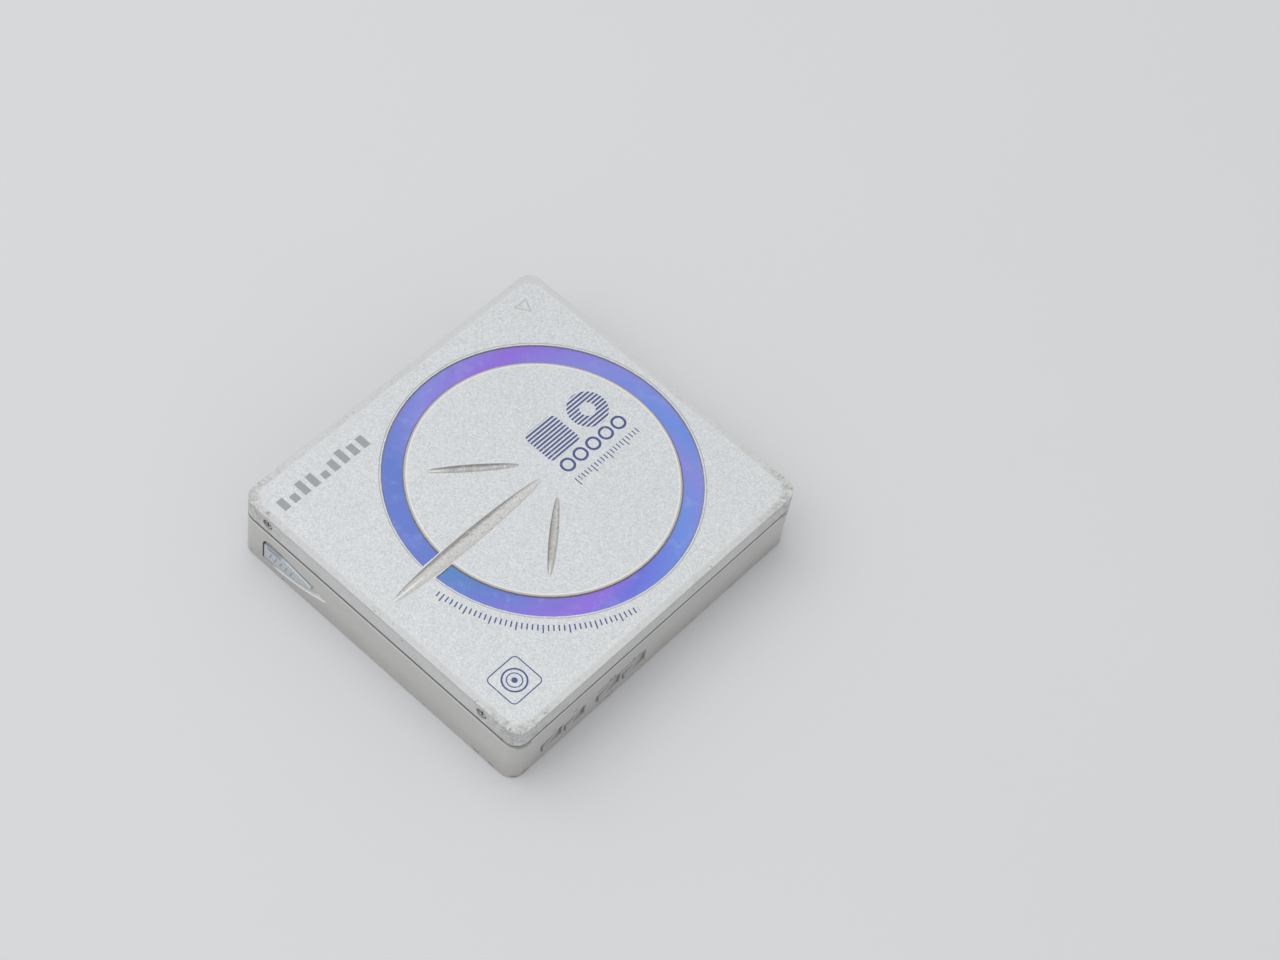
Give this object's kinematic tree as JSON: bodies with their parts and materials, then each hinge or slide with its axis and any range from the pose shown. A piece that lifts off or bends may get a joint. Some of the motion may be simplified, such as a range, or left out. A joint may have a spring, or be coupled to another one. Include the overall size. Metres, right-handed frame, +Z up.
{
  "type": "portable disc player",
  "caption": "slim square portable player with a hinged lid that carries the disc cartridge, iridescent ring and engraved dial lines on the lid, side keys and a thumb release",
  "frame": {"origin": "on the floor plane, at the centre of the body's footprint, keys included", "axes": "+Z up; the lid opens up at its +Y side about pins near the -Y side; the keys are on the -Y side, the thumb release on the -X side, the sockets and the battery door on the +X side"},
  "size_m": [0.079, 0.0729, 0.017],
  "materials": {
    "lid_paint": "silver metallic paint, fine speckle, worn at the corners",
    "ring_foil": "iridescent foil ring, blue to violet with a pale inner border",
    "base_paint": "smooth cool grey paint",
    "key_paint": "silver painted plastic",
    "slide_gloss": "bluish silver gloss",
    "sheet_steel": "plated sheet",
    "rod_steel": "ground and polished",
    "motor_can": "drawn can",
    "dark_screw": "blackened, worn bright",
    "brass": "machined",
    "black_plastic": "moulded",
    "white_plastic": "moulded, natural",
    "magnet": "dark plated magnet",
    "lens_glass": "coated lens",
    "board": "green solder mask",
    "chip_black": "moulded package, bare",
    "battery_wrap": "plain shrink wrap, bare",
    "damper_rubber": "soft rubber"
  },
  "bodies": {
    "base": {"base_shell": "base_paint", "bottom_cover": "base_paint", "cover_screw_rear_left": "dark_screw", "cover_screw_rear_right": "dark_screw", "cover_screw_front_left": "dark_screw", "cover_screw_front_right": "dark_screw", "chassis_plate": "sheet_steel", "hinge_pin_left": "rod_steel", "hinge_pin_right": "rod_steel", "chassis_damper_rear_left": "damper_rubber", "chassis_damper_rear_right": "damper_rubber", "chassis_damper_front_left": "damper_rubber", "chassis_damper_front_right": "damper_rubber", "lid_lift_spring_left": "sheet_steel", "lid_lift_spring_right": "sheet_steel", "spindle_motor": "motor_can", "main_guide_rod": "rod_steel", "sub_guide_rod": "rod_steel", "sled_motor": "motor_can", "main_board": "board", "signal_chip": "chip_black", "power_chip": "chip_black", "battery": "battery_wrap", "battery_case": "black_plastic", "battery_contact": "sheet_steel", "battery_door_pin": "rod_steel", "phones_socket": "black_plastic", "power_socket": "black_plastic", "hold_switch_unit": "black_plastic", "key_board": "board", "volume_down_key_switch": "black_plastic", "volume_up_key_switch": "black_plastic", "previous_key_switch": "black_plastic", "play_key_switch": "black_plastic", "slide_spring": "sheet_steel"},
    "lid": {"lid_shell": "lid_paint", "lid_ring": "ring_foil", "disc_holder": "sheet_steel", "lid_catch": "sheet_steel", "lid_screw_left_front": "dark_screw", "lid_screw_left_rear": "dark_screw", "lid_screw_right_front": "dark_screw", "lid_screw_right_rear": "dark_screw", "cartridge_spring_left": "sheet_steel", "cartridge_spring_right": "sheet_steel"},
    "spindle": {"turntable": "white_plastic", "clamp_magnet": "magnet"},
    "sled": {"pickup_sled": "black_plastic", "pickup_lens": "lens_glass"},
    "feed_screw": {"lead_screw": "rod_steel", "lead_screw_gear": "white_plastic"},
    "feed_pinion": {"motor_pinion": "brass"},
    "release": {"open_slide": "slide_gloss"},
    "hold": {"hold_switch": "key_paint"},
    "door": {"battery_door": "base_paint", "door_contact": "sheet_steel"},
    "volume_down_key_cap": {"volume_down_key": "key_paint"},
    "volume_up_key_cap": {"volume_up_key": "key_paint"},
    "previous_key_cap": {"previous_key": "key_paint"},
    "play_key_cap": {"play_key": "key_paint"}
  },
  "joints": [
    {"name": "lid_hinge", "type": "hinge", "parent": "base", "child": "lid", "pos_m": [0, -0.03235, 0.0149], "axis": [1, 0, 0], "range_deg": [0, 18]},
    {"name": "spindle_spin", "type": "hinge", "parent": "base", "child": "spindle", "pos_m": [0.002, 0, 0.0109], "axis": [0, 0, 1], "continuous": true},
    {"name": "sled_feed", "type": "slide", "parent": "base", "child": "sled", "axis": [-1, 0, 0], "range_m": [0, 0.0145]},
    {"name": "feed_screw_spin", "type": "hinge", "parent": "base", "child": "feed_screw", "pos_m": [0.0036, -0.0185, 0.0054], "axis": [1, 0, 0], "range_deg": [0, 3481]},
    {"name": "feed_pinion_spin", "type": "hinge", "parent": "base", "child": "feed_pinion", "pos_m": [0.0036, -0.02275, 0.0054], "axis": [1, 0, 0], "range_deg": [-8355, 0]},
    {"name": "release_slide", "type": "slide", "parent": "base", "child": "release", "axis": [0, -1, 0], "range_m": [0, 0.002], "stiffness_N_per_m": 150, "deforming": ["slide_spring"]},
    {"name": "hold_slide", "type": "slide", "parent": "base", "child": "hold", "axis": [0, 1, 0], "range_m": [0, 0.002]},
    {"name": "battery_door_hinge", "type": "hinge", "parent": "base", "child": "door", "pos_m": [0.03865, 0.0144, 0.0053], "axis": [0, 0, -1], "range_deg": [0, 95]},
    {"name": "volume_down_key_press", "type": "slide", "parent": "base", "child": "volume_down_key_cap", "axis": [0, 1, 0], "range_m": [0, 0.0004], "stiffness_N_per_m": 500},
    {"name": "volume_up_key_press", "type": "slide", "parent": "base", "child": "volume_up_key_cap", "axis": [0, 1, 0], "range_m": [0, 0.0004], "stiffness_N_per_m": 500},
    {"name": "previous_key_press", "type": "slide", "parent": "base", "child": "previous_key_cap", "axis": [0, 1, 0], "range_m": [0, 0.0004], "stiffness_N_per_m": 500},
    {"name": "play_key_press", "type": "slide", "parent": "base", "child": "play_key_cap", "axis": [0, 1, 0], "range_m": [0, 0.0004], "stiffness_N_per_m": 500}
  ],
  "couplings": [
    {"joint": "feed_screw_spin", "follows": "sled_feed", "rad_per_m": 4188.8},
    {"joint": "feed_pinion_spin", "follows": "sled_feed", "rad_per_m": -10053}
  ]
}
